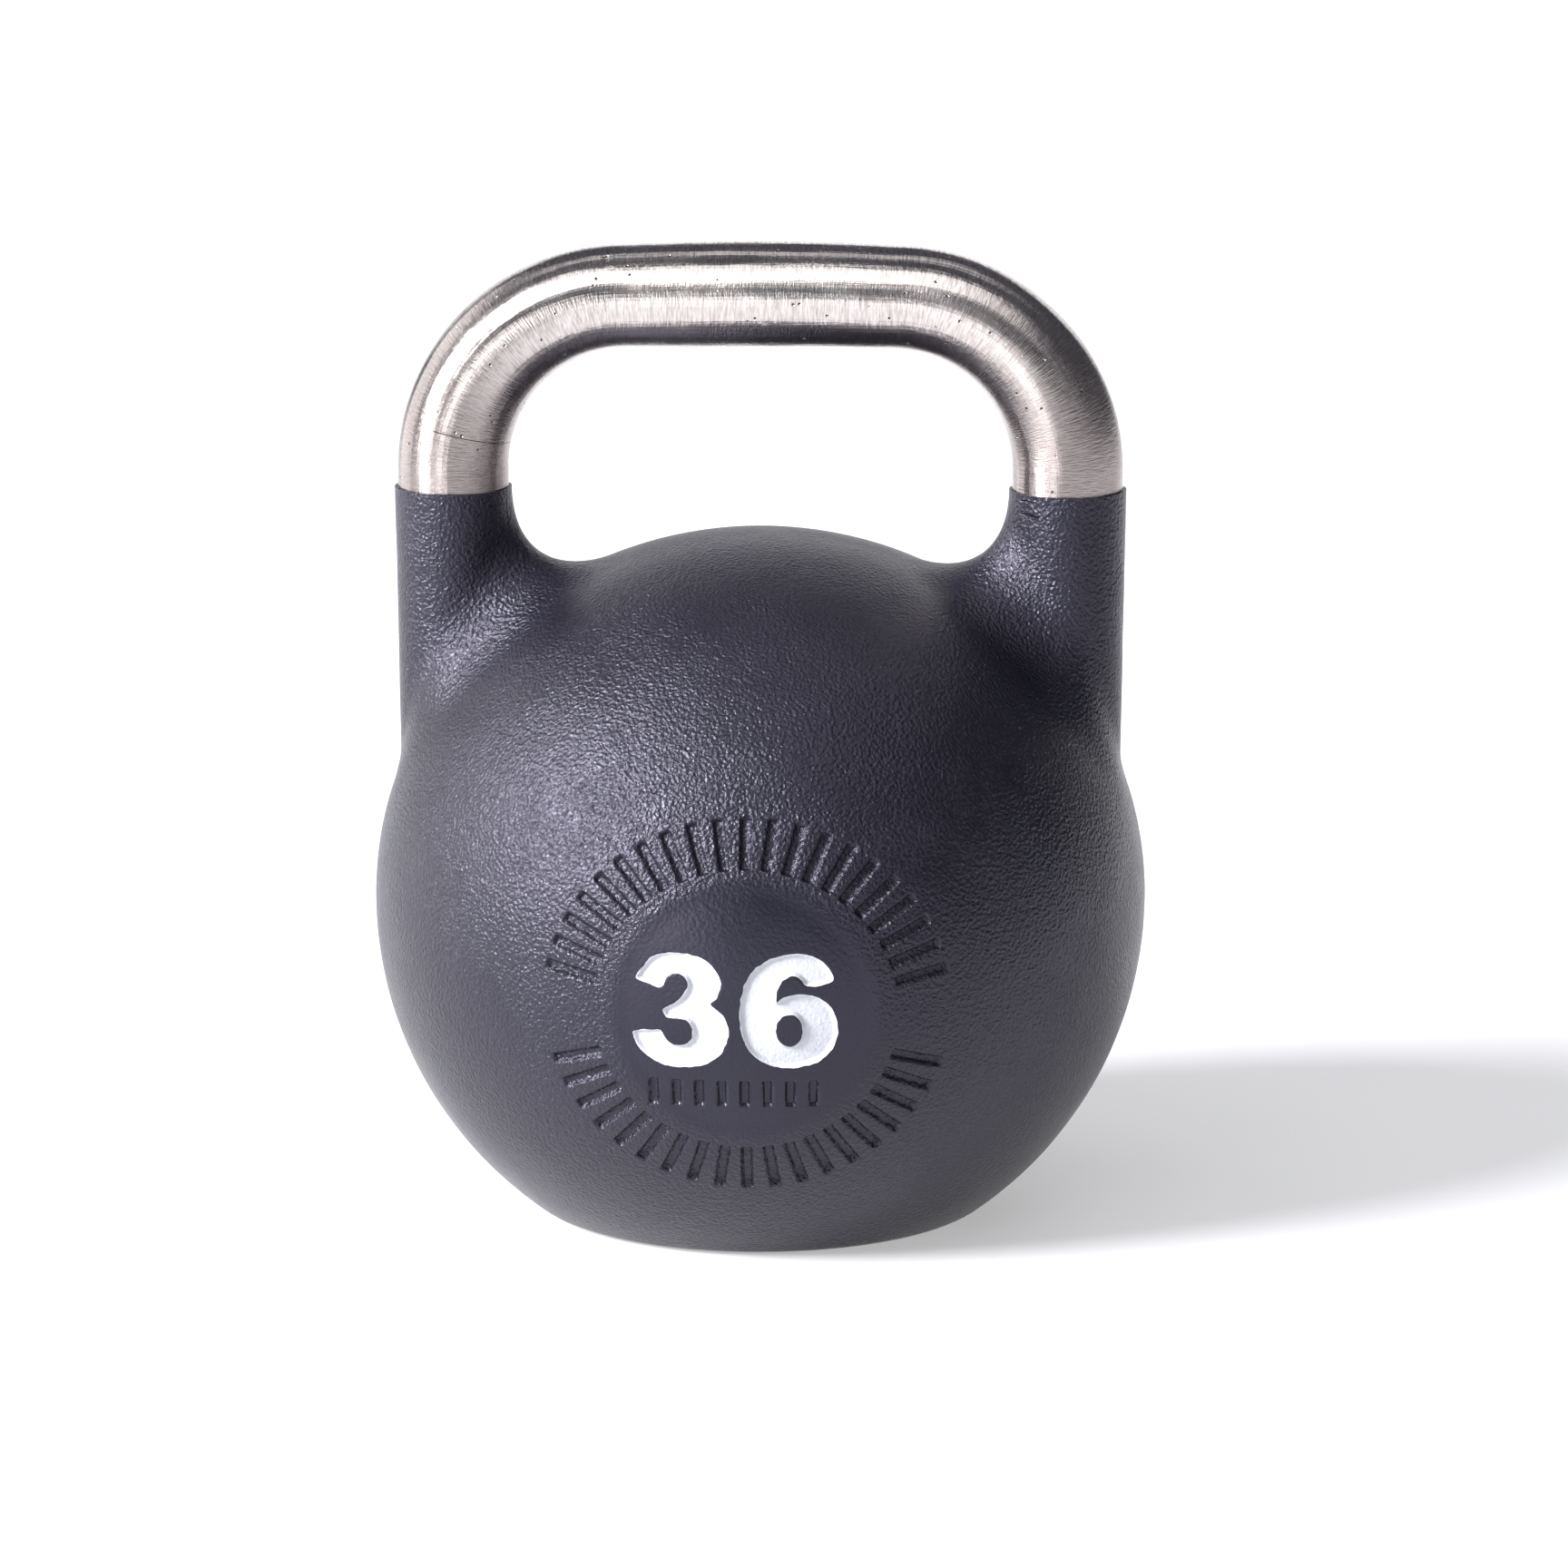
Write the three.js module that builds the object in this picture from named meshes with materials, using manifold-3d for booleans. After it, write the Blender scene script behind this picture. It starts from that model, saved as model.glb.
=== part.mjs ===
// Competition-style kettlebell, in millimetres, +Z up, standing on its base at the origin.
// A cast steel ball with two horns is weighted by a poured core behind a threaded base plug.
// A bent, ground steel bar is the handle: its two turned spigots sit in sockets in the horns,
// and a weld bead fills the groove round each joint. The weight numerals are enamelled recesses.

import * as THREE from "three";
import { mergeVertices } from "three/addons/utils/BufferGeometryUtils.js";
import Module from "manifold-3d";

const GAP = 0.3; // clearance between pieces that touch

// Ball: round below its centre, a little lower than round above it, flat at the foot.
const BALL_RADIUS = 105;
const BALL_CENTRE_Z = 86;
const CROWN_HEIGHT = 99.8; // from the ball's centre to its top
const FOOT_FILLET = 10;
const BALL_SIDES = 60;

// Horns: round posts that grow out of the ball with a fillet, widest in the window.
const HORN_X = 83.05; // post's axis, at the joint
const HORN_RADIUS = 15.85;
const HORN_LEAN = 0.0125; // the posts lean in by this much per millimetre going down
const JOINT_Z = 198; // top face of each horn
const HORN_FOOT_Z = 110; // inside the ball
const WINDOW_FILLET = 18;
const FACE_FILLET = 11; // front and back
const OUTER_FILLET = 3;

// Handle: a bent bar with a spigot at each end.
const BAR_RADIUS = 15.1; // at the legs
const GRIP_RADIUS = 14.5; // along the grip
const GRIP_Z = 250.5; // axis of the straight grip
const BEND_RADIUS = 47;
const SPIGOT_RADIUS = 10.5;
const SOCKET_DEPTH = 26;

// Weld groove round the top of each horn.
const GROOVE_DEPTH = 4.05;
const GROOVE_HEIGHT = 4.5;

// Core, filler hole and plug, after a collared hexagon-socket screw plug.
const CORE_RADIUS = 42;
const CORE_CENTRE_Z = 92;
const THREAD_RADIUS = 20.95;
const THREAD_LENGTH = 16;
const COLLAR_RADIUS = 26;
const COLLAR_THICKNESS = 5;
const PLUG_RECESS = 1.2; // the collar stays this far above the floor
const SEAL_THICKNESS = 2;
const SEAL_RADIUS = 25.2;
const HEX_ACROSS_FLATS = 22;
const HEX_DEPTH = 9;

// Weight numerals, cut into the front of the ball and filled with enamel.
const NUMERAL_WIDTH = 25.6;
const NUMERAL_HEIGHT = 32;
const NUMERAL_SPACE = 2.8;
const NUMERAL_CENTRE_X = -2.2;
const NUMERAL_CENTRE_Z = 77.8;
const NUMERAL_DEPTH = 1.6;
const ENAMEL_THICKNESS = 0.4;

const wasm = await Module();
wasm.setup();

// A closed three.js geometry as a solid that can be joined and cut.
function solid(geometry) {
  const plain = geometry.clone();
  plain.deleteAttribute("normal");
  plain.deleteAttribute("uv");
  const merged = mergeVertices(plain, 1e-3);
  return new wasm.Manifold(
    new wasm.Mesh({
      numProp: 3,
      vertProperties: new Float32Array(merged.attributes.position.array),
      triVerts: new Uint32Array(merged.index.array),
    }),
  );
}

// A solid as a three.js geometry.
function geometryOf(body) {
  const mesh = body.getMesh();
  const position = new THREE.BufferAttribute(new Float32Array(mesh.vertProperties), 3);
  const geometry = new THREE.BufferGeometry().setAttribute("position", position);
  geometry.setIndex(new THREE.BufferAttribute(new Uint32Array(mesh.triVerts), 1));
  geometry.computeVertexNormals();
  return geometry;
}

// A closed skin through rings with the same number of points, capped at both ends.
function loft(rings) {
  const sides = rings[0].length;
  const middle = (ring) => ring.reduce((sum, p) => sum.add(p), new THREE.Vector3()).divideScalar(sides);
  const points = [...rings.flat(), middle(rings[0]), middle(rings.at(-1))];
  const start = points.length - 2;
  const end = points.length - 1;
  const last = (rings.length - 1) * sides;
  const faces = [];
  for (let side = 0; side < sides; side++) {
    const next = (side + 1) % sides;
    faces.push(start, next, side);
    faces.push(end, last + side, last + next);
    for (let ring = 0; ring < rings.length - 1; ring++) {
      const low = ring * sides;
      const high = low + sides;
      faces.push(low + side, low + next, high + next);
      faces.push(low + side, high + next, high + side);
    }
  }
  return new THREE.BufferGeometry().setFromPoints(points).setIndex(faces);
}

// A profile of [radius, height] pairs turned round +Z.
function turned(profile, sides) {
  const points = profile.map(([radius, height]) => new THREE.Vector2(radius, height));
  return new THREE.LatheGeometry(points, sides).rotateX(Math.PI / 2);
}

// A plain cylinder standing on z = low.
function cylinder(radius, low, high, x = 0, sides = 40) {
  const profile = [[0, low], [radius, low], [radius, high], [0, high]];
  return solid(turned(profile, sides)).translate([x, 0, 0]);
}

function mesh(name, geometry, material) {
  const made = new THREE.Mesh(geometry, material);
  made.name = name;
  return made;
}

// The ball's outline, drawn in by an inset that keeps its faces parallel.
function ball(inset = 0) {
  const radius = BALL_RADIUS - inset;
  const crown = CROWN_HEIGHT - inset;
  const foot = BALL_CENTRE_Z - inset;
  const filletX = Math.sqrt((radius - FOOT_FILLET) ** 2 - (foot - FOOT_FILLET) ** 2);
  const filletEnd = Math.atan2(foot - FOOT_FILLET, filletX);
  const profile = [[0, inset]];
  const filletSteps = 3;
  for (let step = 0; step <= filletSteps; step++) {
    const turn = Math.PI / 2 + ((filletEnd - Math.PI / 2) * step) / filletSteps;
    profile.push([
      filletX + FOOT_FILLET * Math.cos(turn),
      inset + FOOT_FILLET * (1 - Math.sin(turn)),
    ]);
  }
  const bowlSteps = 8;
  for (let step = 1; step <= bowlSteps; step++) {
    const down = filletEnd * (1 - step / bowlSteps);
    profile.push([radius * Math.cos(down), BALL_CENTRE_Z - radius * Math.sin(down)]);
  }
  const crownSteps = 12;
  for (let step = 1; step <= crownSteps; step++) {
    const up = (Math.PI / 2) * (step / crownSteps);
    const across = step === crownSteps ? 0 : radius * Math.cos(up);
    profile.push([across, BALL_CENTRE_Z + crown * Math.sin(up)]);
  }
  return solid(turned(profile, BALL_SIDES));
}

// The direction from the ball to a point, as long as the point's distance from the ball.
function fromBall(point) {
  const stretch = point.z > BALL_CENTRE_Z ? BALL_RADIUS / CROWN_HEIGHT : 1;
  const across = new THREE.Vector3(point.x, point.y, (point.z - BALL_CENTRE_Z) * stretch);
  const distance = across.length() - BALL_RADIUS;
  across.z *= stretch;
  return across.setLength(Math.abs(distance));
}

const hornAxis = (z) => HORN_X - HORN_LEAN * (JOINT_Z - z);

// The fillet round a horn's foot, as the groove that a ball leaves when it is rolled round the
// post and along the casting. Its first ring is in the post and its last ring is in the casting.
function hornFillet(sides) {
  const arcSteps = 5;
  const rings = Array.from({ length: arcSteps + 3 }, () => []);
  for (let side = 0; side < sides; side++) {
    const turn = (2 * Math.PI * side) / sides;
    const inward = -Math.cos(turn);
    const sideFillet = inward > 0 ? WINDOW_FILLET : OUTER_FILLET;
    const fillet = THREE.MathUtils.lerp(FACE_FILLET, sideFillet, inward ** 2);
    const centreAt = (z) => {
      const out = HORN_RADIUS + fillet;
      return new THREE.Vector3(hornAxis(z) + out * Math.cos(turn), out * Math.sin(turn), z);
    };
    let centre = centreAt(JOINT_Z);
    while (fromBall(centre).length() > fillet && centre.z > HORN_FOOT_Z) {
      centre = centreAt(centre.z - 0.05);
    }
    const toPost = new THREE.Vector3(-Math.cos(turn), -Math.sin(turn), 0);
    const toBall = fromBall(centre).normalize().negate();
    const swing = toPost.angleTo(toBall);
    rings[0].push(centre.clone().addScaledVector(toPost, fillet + GAP));
    for (let step = 0; step <= arcSteps; step++) {
      const part = step / arcSteps;
      const heading = toPost.clone().multiplyScalar(Math.sin((1 - part) * swing));
      heading.addScaledVector(toBall, Math.sin(part * swing)).divideScalar(Math.sin(swing));
      rings[step + 1].push(centre.clone().addScaledVector(heading, fillet));
    }
    rings.at(-1).push(centre.clone().addScaledVector(toBall, fillet + 3));
  }
  return solid(loft(rings.reverse()));
}

// One horn on the +X side: a round post with its fillet.
function horn() {
  const sides = 40;
  const ends = [HORN_FOOT_Z, JOINT_Z].map((z) => {
    const ring = [];
    for (let side = 0; side < sides; side++) {
      const turn = (2 * Math.PI * side) / sides;
      const x = hornAxis(z) + HORN_RADIUS * Math.cos(turn);
      ring.push(new THREE.Vector3(x, HORN_RADIUS * Math.sin(turn), z));
    }
    return ring;
  });
  return solid(loft(ends)).add(hornFillet(sides));
}

// Round stretches are splines through their points; stretches meet at corners.
function outline(stretches) {
  const shape = new THREE.Shape();
  stretches.forEach((stretch, index) => {
    const points = stretch.map(([x, y]) => new THREE.Vector2(x, y));
    if (index === 0) shape.moveTo(points[0].x, points[0].y);
    else shape.lineTo(points[0].x, points[0].y);
    if (points.length > 1) shape.splineThru(points.slice(1));
  });
  return shape;
}

function numeralThree() {
  return outline([
    [[0.9, 24.5], [5.7, 30.7], [12.2, 32], [19.7, 30.2], [23.6, 24.6], [22.6, 20.2], [20.5, 18.3]],
    [[24.4, 15], [25.6, 10.3], [24.1, 4.9], [19.2, 1.1], [13.2, 0], [7.3, 0.9], [2.2, 4.6], [0, 9.7]],
    [[7.8, 10.6], [9.5, 7.4], [12.4, 6.1], [15.4, 7.6], [16.2, 10.6], [14.9, 13.3], [13, 13.9]],
    [[9.2, 13.9]],
    [[8, 16.3], [12.7, 19.2], [15, 22.9], [13.9, 25.7], [11.4, 26.4], [9.3, 25], [8.4, 22.6]],
    [[7, 22.3]],
  ]);
}

function numeralSix() {
  const shape = outline([
    [
      [24.6, 25.7], [21.4, 30], [15.7, 32], [8.6, 31], [3.2, 27.1], [0.8, 21.7], [0, 14.8], [1.4, 7.3],
      [4.6, 2.9], [9.8, 0.4], [15.7, 0.2], [21.4, 2.2], [24.9, 6.8], [25.6, 11.9], [23.8, 17.2],
      [20, 20.2], [15.7, 21], [11.9, 20.2], [9.5, 18.5],
    ],
    [[9.6, 20.2], [10.6, 24], [13.5, 26.2], [15.9, 25.2], [17.1, 23.1]],
    [[21.1, 23.1]],
    [[24.4, 24.4]],
  ]);
  shape.holes.push(new THREE.Path().absellipse(13, 10.9, 3.5, 4.5, 0, 2 * Math.PI, true));
  return shape;
}

// A numeral as a straight bar through the ball's front, drawn in by an inset all round.
function numeralBar(shape, left, inset) {
  const geometry = new THREE.ExtrudeGeometry(shape, {
    depth: 40,
    curveSegments: 2,
    bevelEnabled: inset > 0,
    bevelThickness: GAP,
    bevelSize: GAP,
    bevelOffset: -GAP - inset,
    bevelSegments: 1,
  });
  const low = NUMERAL_CENTRE_Z - NUMERAL_HEIGHT / 2;
  geometry.rotateX(Math.PI / 2).translate(NUMERAL_CENTRE_X + left, 30 - BALL_RADIUS, low);
  return solid(geometry);
}

const numerals = [
  { name: "numeral_3_enamel", shape: numeralThree(), left: -NUMERAL_WIDTH - NUMERAL_SPACE / 2 },
  { name: "numeral_6_enamel", shape: numeralSix(), left: NUMERAL_SPACE / 2 },
];

function coreSphere(radius) {
  const sphere = new THREE.SphereGeometry(radius, 28, 14).rotateX(Math.PI / 2);
  return solid(sphere).translate([0, 0, CORE_CENTRE_Z]);
}

// The casting: ball and horns joined, then hollowed, bored and engraved.
function ballCasting() {
  const mirrored = horn().mirror([1, 0, 0]);
  let casting = ball().add(horn()).add(mirrored);
  casting = casting.subtract(coreSphere(CORE_RADIUS));
  casting = casting.subtract(cylinder(THREAD_RADIUS + GAP, -1, CORE_CENTRE_Z));
  casting = casting.subtract(cylinder(COLLAR_RADIUS + GAP, -1, seatZ()));
  for (const x of [-HORN_X, HORN_X]) {
    casting = casting.subtract(cylinder(SPIGOT_RADIUS + GAP, JOINT_Z - SOCKET_DEPTH, JOINT_Z + 1, x, 24));
    casting = casting.subtract(solid(weldRing(GAP, 2)).translate([x, 0, 0]));
  }
  for (const { shape, left } of numerals) {
    casting = casting.subtract(numeralBar(shape, left, 0).subtract(ball(NUMERAL_DEPTH)));
  }
  return casting;
}

// Height of the shoulder that the plug's seal is squeezed against.
function seatZ() {
  return PLUG_RECESS + COLLAR_THICKNESS + SEAL_THICKNESS + 2 * GAP;
}

// The bead's three-sided section turned round a joint's axis. Growing it makes the groove.
function weldRing(grow, rise) {
  const outer = HORN_RADIUS + (grow > 0 ? 1 : 0);
  const slope = GROOVE_HEIGHT / GROOVE_DEPTH;
  const low = JOINT_Z - GROOVE_HEIGHT + GAP - grow - slope * (outer - HORN_RADIUS);
  const top = JOINT_Z + (grow > 0 ? rise : 0);
  const inner = HORN_RADIUS - GROOVE_DEPTH + GAP - grow - (top - JOINT_Z) / slope;
  return turned([[inner, top], [outer, low], [outer, top], [inner, top]], 36);
}

// The handle: rings along the bar's line, with a step down to the spigot at each end.
function handleBar() {
  const sides = 28;
  const bendSteps = 10;
  const gripEndX = HORN_X - BEND_RADIUS;
  const bendZ = GRIP_Z - BEND_RADIUS;
  const shoulderZ = JOINT_Z + GAP;
  const stations = [
    { x: HORN_X, z: JOINT_Z - SOCKET_DEPTH + GAP, turn: 0, radius: SPIGOT_RADIUS },
    { x: HORN_X, z: shoulderZ, turn: 0, radius: SPIGOT_RADIUS },
    { x: HORN_X, z: shoulderZ, turn: 0, radius: BAR_RADIUS },
  ];
  for (let step = 0; step <= bendSteps; step++) {
    const turn = (Math.PI / 2) * (step / bendSteps);
    const x = gripEndX + BEND_RADIUS * Math.cos(turn);
    const z = bendZ + BEND_RADIUS * Math.sin(turn);
    const radius = THREE.MathUtils.lerp(BAR_RADIUS, GRIP_RADIUS, Math.sin(turn));
    stations.push({ x, z, turn, radius });
  }
  const mirrored = stations.map((s) => ({ ...s, x: -s.x, turn: Math.PI - s.turn })).reverse();
  const rings = [...stations, ...mirrored].map(({ x, z, turn, radius }) => {
    const outward = new THREE.Vector3(Math.cos(turn), 0, Math.sin(turn));
    const across = new THREE.Vector3(0, 1, 0);
    const ring = [];
    for (let side = 0; side < sides; side++) {
      const angle = (2 * Math.PI * side) / sides;
      const point = new THREE.Vector3(x, 0, z);
      point.addScaledVector(outward, radius * Math.cos(angle));
      point.addScaledVector(across, radius * Math.sin(angle));
      ring.push(point);
    }
    return ring;
  });
  return loft(rings);
}

// The poured core fills the cavity and its neck, down to the plug's end.
function ballastCore() {
  const plugEnd = PLUG_RECESS + COLLAR_THICKNESS + THREAD_LENGTH;
  return coreSphere(CORE_RADIUS - GAP).add(cylinder(THREAD_RADIUS, plugEnd + GAP, CORE_CENTRE_Z));
}

// A collared screw plug with a hexagon socket. Its thread is drawn as a plain cylinder.
function basePlug() {
  const collarTop = PLUG_RECESS + COLLAR_THICKNESS;
  const chamfer = 1;
  const profile = [
    [0, PLUG_RECESS],
    [COLLAR_RADIUS - chamfer, PLUG_RECESS],
    [COLLAR_RADIUS, PLUG_RECESS + chamfer],
    [COLLAR_RADIUS, collarTop],
    [THREAD_RADIUS, collarTop],
    [THREAD_RADIUS, collarTop + THREAD_LENGTH - chamfer],
    [THREAD_RADIUS - chamfer, collarTop + THREAD_LENGTH],
    [0, collarTop + THREAD_LENGTH],
  ];
  const socket = cylinder(HEX_ACROSS_FLATS / Math.sqrt(3), 0, PLUG_RECESS + HEX_DEPTH, 0, 6);
  return solid(turned(profile, 40)).subtract(socket);
}

// A flat ring between the collar and its seat.
function plugSeal() {
  const low = PLUG_RECESS + COLLAR_THICKNESS + GAP;
  const high = low + SEAL_THICKNESS;
  const bore = THREAD_RADIUS + GAP;
  return turned([[bore, low], [SEAL_RADIUS, low], [SEAL_RADIUS, high], [bore, high], [bore, low]], 40);
}

// Enamel lies on the floor of each numeral's recess.
function numeralEnamel(shape, left) {
  const floor = NUMERAL_DEPTH - GAP;
  const bar = numeralBar(shape, left, GAP);
  return bar.intersect(ball(floor - ENAMEL_THICKNESS)).subtract(ball(floor));
}

const blackPaint = new THREE.MeshStandardMaterial({ color: 0x2e2d33, roughness: 0.55, metalness: 0.1 });
const groundSteel = new THREE.MeshStandardMaterial({ color: 0xb9b0ab, roughness: 0.28, metalness: 1 });
const weldSteel = new THREE.MeshStandardMaterial({ color: 0x7d7a78, roughness: 0.5, metalness: 0.9 });
const pouredCore = new THREE.MeshStandardMaterial({ color: 0x6b6762, roughness: 0.9, metalness: 0.1 });
const plugSteel = new THREE.MeshStandardMaterial({ color: 0x35343a, roughness: 0.45, metalness: 0.6 });
const sealRubber = new THREE.MeshStandardMaterial({ color: 0x1c1b1b, roughness: 0.8, metalness: 0 });
const whiteEnamel = new THREE.MeshStandardMaterial({ color: 0xe9eaed, roughness: 0.45, metalness: 0 });

const kettlebell = new THREE.Group();
kettlebell.add(
  mesh("ball_casting", geometryOf(ballCasting()), blackPaint),
  mesh("handle_bar", handleBar(), groundSteel),
  mesh("ballast_core", geometryOf(ballastCore()), pouredCore),
  mesh("base_plug", geometryOf(basePlug()), plugSteel),
  mesh("plug_seal", plugSeal(), sealRubber),
);
for (const [side, x] of [["left", -HORN_X], ["right", HORN_X]]) {
  const bead = mesh(`weld_bead_${side}`, weldRing(0, 0), weldSteel);
  bead.position.x = x;
  kettlebell.add(bead);
}
for (const { name, shape, left } of numerals) {
  kettlebell.add(mesh(name, geometryOf(numeralEnamel(shape, left)), whiteEnamel));
}

export default kettlebell;
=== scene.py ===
"""Looks of a competition kettlebell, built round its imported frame.

The painted casting, the ground steel handle, the enamelled numerals and the base plug
are each made by one class. Lengths are in metres, +Z is up, and the numerals face -Y.
"""

import logging
import math
from collections.abc import Callable
from dataclasses import dataclass, field
from enum import Enum
from functools import partial

import bmesh
import bpy
import numpy as np
from mathutils import Matrix, Vector, noise

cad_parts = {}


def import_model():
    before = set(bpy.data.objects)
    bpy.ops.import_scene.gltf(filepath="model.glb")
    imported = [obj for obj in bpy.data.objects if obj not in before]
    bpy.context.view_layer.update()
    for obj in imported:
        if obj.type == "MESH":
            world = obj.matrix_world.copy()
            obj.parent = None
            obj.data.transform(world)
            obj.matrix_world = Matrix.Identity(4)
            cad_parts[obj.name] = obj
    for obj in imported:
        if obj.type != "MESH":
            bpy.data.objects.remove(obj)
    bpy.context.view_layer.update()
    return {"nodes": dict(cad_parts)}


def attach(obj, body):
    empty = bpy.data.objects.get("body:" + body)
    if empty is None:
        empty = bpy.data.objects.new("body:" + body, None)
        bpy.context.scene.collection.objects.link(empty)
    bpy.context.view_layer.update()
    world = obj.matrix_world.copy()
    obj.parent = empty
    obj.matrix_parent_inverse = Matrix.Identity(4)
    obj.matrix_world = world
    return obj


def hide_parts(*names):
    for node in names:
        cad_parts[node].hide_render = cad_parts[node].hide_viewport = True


LOG = logging.getLogger("kettlebell")
MM = 0.001
BODY = "root"
SHARP = math.radians(50)

Outline = list[tuple[float, float]]
Place = tuple[float, float, float]
Node = bpy.types.Node
Socket = bpy.types.NodeSocket
Inputs = dict[str | int, float | tuple[float, ...] | Socket | Node]
Add = Callable[..., Node]


# ---------------------------------------------------------------- small tools


def linear(hex_colour: str) -> tuple[float, float, float, float]:
    """Turns an sRGB hex colour into the linear colour that shaders use.

    Args:
        hex_colour: A colour such as "2b2a31".

    Returns:
        Linear red, green and blue, and an alpha of 1.
    """
    channels = [int(hex_colour[i : i + 2], 16) / 255 for i in (0, 2, 4)]
    curve = [c / 12.92 if c <= 0.04045 else ((c + 0.055) / 1.055) ** 2.4 for c in channels]
    return (curve[0], curve[1], curve[2], 1.0)


def per_metre(size_mm: float) -> float:
    """Gives the texture scale at which one feature is size_mm across."""
    return 1000.0 / size_mm


def add_node(
    tree: bpy.types.NodeTree, kind: str, inputs: Inputs | None = None, **settings: object
) -> Node:
    """Adds a node to a tree, sets it up and links what feeds it.

    Args:
        tree: The material's node tree.
        kind: The node's type, such as "ShaderNodeTexNoise".
        inputs: What goes into it. A node there feeds its first output.
        settings: Properties of the node itself.

    Returns:
        The new node.
    """
    node = tree.nodes.new(kind)
    for name, value in settings.items():
        setattr(node, name, value)
    for name, value in (inputs or {}).items():
        if isinstance(value, Node):
            value = value.outputs[0]
        if isinstance(value, Socket):
            tree.links.new(value, node.inputs[name])
        else:
            node.inputs[name].default_value = value
    return node


def object_from(name: str, bm: bmesh.types.BMesh) -> bpy.types.Object:
    """Makes a scene object from a bmesh, with its normals facing out, and frees the bmesh.

    Args:
        name: The object's name.
        bm: A closed mesh in the row frame.

    Returns:
        The new object, smooth shaded, at the origin.
    """
    bmesh.ops.recalc_face_normals(bm, faces=bm.faces)
    mesh = bpy.data.meshes.new(name)
    bm.to_mesh(mesh)
    bm.free()
    mesh.shade_smooth()
    made = bpy.data.objects.new(name, mesh)
    bpy.context.scene.collection.objects.link(made)
    return made


def bake_modifiers(piece: bpy.types.Object) -> None:
    """Replaces a piece's mesh by what its modifiers make of it."""
    graph = bpy.context.evaluated_depsgraph_get()
    baked = bpy.data.meshes.new_from_object(piece.evaluated_get(graph))
    piece.modifiers.clear()
    old = piece.data
    piece.data = baked
    bpy.data.meshes.remove(old)


class Cut(Enum):
    """What is left of a piece after a tool has met it."""

    OUTSIDE_TOOL = "DIFFERENCE"
    INSIDE_TOOL = "INTERSECT"


def combine(piece: bpy.types.Object, tool: bpy.types.Object, kept: Cut) -> None:
    """Cuts a piece with a tool and removes the tool.

    Args:
        piece: The object that is changed.
        tool: A closed object.
        kept: Which side of the tool stays.
    """
    cut = piece.modifiers.new("cut", "BOOLEAN")
    cut.operation = kept.value
    cut.solver = "EXACT"
    cut.object = tool
    bake_modifiers(piece)
    bpy.data.objects.remove(tool)


def turned(bm: bmesh.types.BMesh, profile: Outline, x: float = 0.0, sides: int = 96) -> None:
    """Turns a profile round a vertical axis into a closed solid.

    Args:
        bm: The mesh that the solid is added to.
        profile: Radius and height of each corner, from the axis to the axis.
        x: Where the axis stands.
        sides: Number of steps round the axis.
    """
    line = [bm.verts.new((x + radius, 0.0, height)) for radius, height in profile]
    edges = [bm.edges.new(pair) for pair in zip(line, line[1:])]
    bmesh.ops.spin(
        bm,
        geom=[*line, *edges],
        cent=(x, 0.0, 0.0),
        axis=(0.0, 0.0, 1.0),
        angle=2 * math.pi,
        steps=sides,
        use_merge=True,
    )
    bmesh.ops.remove_doubles(bm, verts=bm.verts, dist=1e-6)


def points_of(mesh: bpy.types.Mesh) -> np.ndarray:
    """Gives a mesh's vertices as an array with a row for each."""
    flat = np.empty(len(mesh.vertices) * 3)
    mesh.vertices.foreach_get("co", flat)
    return flat.reshape(-1, 3)


def place_points(mesh: bpy.types.Mesh, points: np.ndarray) -> None:
    """Moves a mesh's vertices to new points."""
    mesh.vertices.foreach_set("co", points.ravel())
    mesh.update()


def dress(piece: bpy.types.Object, material: bpy.types.Material) -> None:
    """Gives a piece one material all over."""
    piece.data.materials.clear()
    piece.data.materials.append(material)


# ---------------------------------------------------------------- finishes


@dataclass(frozen=True)
class Finish:
    """A surface finish, made into a material on demand."""

    name: str

    def shade(self, add: Add) -> Inputs:
        """Gives the surface shader's inputs, from nodes made by add."""
        raise NotImplementedError

    def material(self) -> bpy.types.Material:
        """Makes the finish's material.

        Returns:
            The material, with a Principled surface.
        """
        made = bpy.data.materials.new(self.name)
        made.use_nodes = True
        made.node_tree.nodes.clear()
        add = partial(add_node, made.node_tree)
        surface = add("ShaderNodeBsdfPrincipled", self.shade(add))
        add("ShaderNodeOutputMaterial", {"Surface": surface})
        return made


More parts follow.
